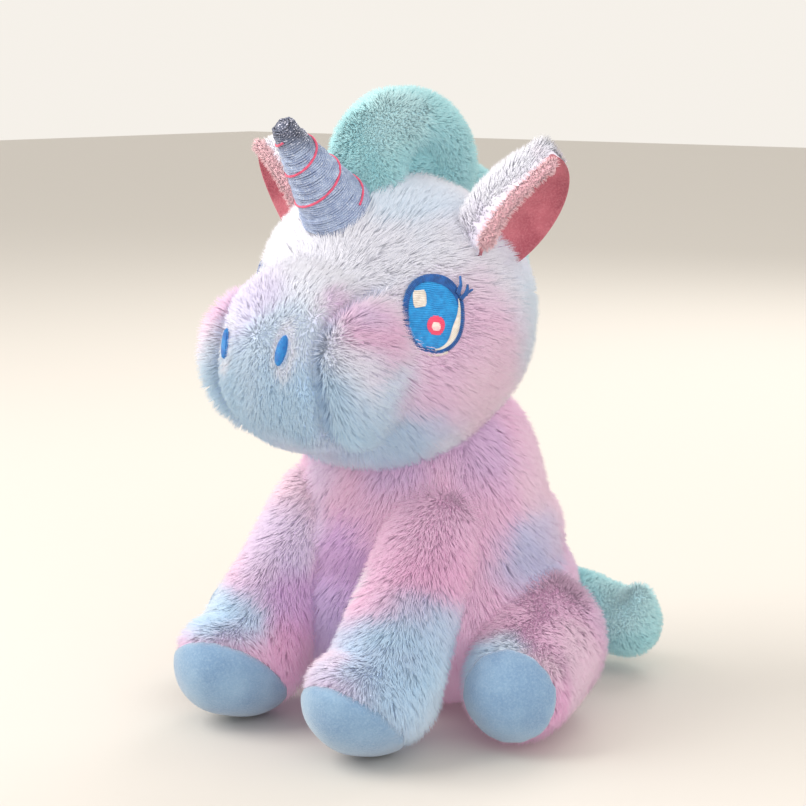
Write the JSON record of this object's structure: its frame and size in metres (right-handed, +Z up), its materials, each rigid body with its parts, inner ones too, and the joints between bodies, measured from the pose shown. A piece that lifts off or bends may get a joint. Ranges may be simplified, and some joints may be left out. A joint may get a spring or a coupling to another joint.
{
  "type": "plush unicorn",
  "caption": "Seated plush toy unicorn with soft pastel pile, stuffed horn, curled mane and tail, velvet hooves, and flexing head and limbs.",
  "frame": {"origin": "middle of the flat seat on the ground", "axes": "+Z up, the toy faces -Y, its own left side is +X"},
  "size_m": [0.218, 0.243, 0.3],
  "materials": {
    "ear_trim_plush": "curly pink pile",
    "ear_velvet": "dusty rose velvet",
    "fur_plush": "long soft tie-dye pile in white, pale blue, lilac and pink",
    "hoof_velvet": "short steel-blue velvet",
    "horn_cord": "twisted rose cord",
    "horn_thread": "rows of silver-blue lurex thread",
    "mane_plush": "short aqua pile",
    "pouch_cloth": "plain weave bag of plastic beans",
    "stuffing": "white polyester fibre",
    "thread_blue": "satin stitch",
    "thread_cream": "satin stitch",
    "thread_dark_blue": "satin stitch",
    "thread_pink": "satin stitch"
  },
  "bodies": {
    "torso": {"torso_cover": "fur_plush", "torso_stuffing": "stuffing", "seat_panel": "fur_plush", "bean_pouch": "pouch_cloth", "neck_stuffing": "stuffing"},
    "neck": {"neck_gusset": "fur_plush"},
    "head": {"head_cover": "fur_plush", "muzzle_panel": "fur_plush", "head_stuffing": "stuffing", "mane_curl_cover": "mane_plush", "mane_curl_stuffing": "stuffing", "mane_back_cover": "mane_plush", "mane_back_stuffing": "stuffing", "eye_outline_left": "thread_dark_blue", "eye_iris_left": "thread_blue", "eye_highlight_left": "thread_cream", "eye_spot_left": "thread_pink", "eye_crescent_left": "thread_cream", "eye_lashes_left": "thread_dark_blue", "nostril_left": "thread_blue", "eye_outline_right": "thread_dark_blue", "eye_iris_right": "thread_blue", "eye_highlight_right": "thread_cream", "eye_spot_right": "thread_pink", "eye_crescent_right": "thread_cream", "eye_lashes_right": "thread_dark_blue", "nostril_right": "thread_blue"},
    "horn": {"horn_cover": "horn_thread", "horn_stuffing": "stuffing", "horn_cord": "horn_cord"},
    "tail": {"tail_cover": "mane_plush", "tail_stuffing": "stuffing"},
    "ear_left": {"ear_cover_left": "fur_plush", "ear_lining_left": "ear_velvet", "ear_trim_left": "ear_trim_plush"},
    "front_leg_left": {"front_leg_left_cover": "fur_plush", "front_leg_left_stuffing": "stuffing", "front_hoof_left": "hoof_velvet"},
    "hind_leg_left": {"hind_leg_left_cover": "fur_plush", "hind_leg_left_stuffing": "stuffing", "hind_foot_pad_left": "hoof_velvet"},
    "ear_right": {"ear_cover_right": "fur_plush", "ear_lining_right": "ear_velvet", "ear_trim_right": "ear_trim_plush"},
    "front_leg_right": {"front_leg_right_cover": "fur_plush", "front_leg_right_stuffing": "stuffing", "front_hoof_right": "hoof_velvet"},
    "hind_leg_right": {"hind_leg_right_cover": "fur_plush", "hind_leg_right_stuffing": "stuffing", "hind_foot_pad_right": "hoof_velvet"}
  },
  "joints": [
    {"name": "head_turn", "type": "hinge", "parent": "torso", "child": "neck", "pos_m": [0, 0.008, 0.126], "axis": [0, 0, 1], "range_deg": [-30, 30], "stiffness_Nm_per_rad": 0.8},
    {"name": "head_nod", "type": "hinge", "parent": "neck", "child": "head", "pos_m": [0, 0.008, 0.126], "axis": [-1, 0, 0], "range_deg": [-4, 12], "stiffness_Nm_per_rad": 1.6},
    {"name": "horn_bend", "type": "hinge", "parent": "head", "child": "horn", "pos_m": [0, -0.047, 0.2432], "axis": [1, 0, 0], "range_deg": [-8, 8], "stiffness_Nm_per_rad": 0.15},
    {"name": "tail_swing", "type": "hinge", "parent": "torso", "child": "tail", "pos_m": [0.008, 0.09, 0.046], "axis": [0, 0, 1], "range_deg": [-24, 8], "stiffness_Nm_per_rad": 0.2},
    {"name": "ear_left_bend", "type": "hinge", "parent": "head", "child": "ear_left", "pos_m": [0.057, 0, 0.233], "axis": [0, 1, 0], "range_deg": [-10, 15], "stiffness_Nm_per_rad": 0.08},
    {"name": "front_leg_left_swing", "type": "hinge", "parent": "torso", "child": "front_leg_left", "pos_m": [0.036, -0.02, 0.096], "axis": [-1, 0, 0], "range_deg": [0, 35], "stiffness_Nm_per_rad": 0.5},
    {"name": "hind_leg_left_lift", "type": "hinge", "parent": "torso", "child": "hind_leg_left", "pos_m": [0.062, 0.022, 0.0376], "axis": [-1, 0, 0], "range_deg": [0, 14], "stiffness_Nm_per_rad": 0.5},
    {"name": "ear_right_bend", "type": "hinge", "parent": "head", "child": "ear_right", "pos_m": [-0.057, 0, 0.233], "axis": [0, -1, 0], "range_deg": [-10, 15], "stiffness_Nm_per_rad": 0.08},
    {"name": "front_leg_right_swing", "type": "hinge", "parent": "torso", "child": "front_leg_right", "pos_m": [-0.036, -0.02, 0.096], "axis": [-1, 0, 0], "range_deg": [0, 35], "stiffness_Nm_per_rad": 0.5},
    {"name": "hind_leg_right_lift", "type": "hinge", "parent": "torso", "child": "hind_leg_right", "pos_m": [-0.062, 0.022, 0.0376], "axis": [-1, 0, 0], "range_deg": [0, 14], "stiffness_Nm_per_rad": 0.5}
  ]
}
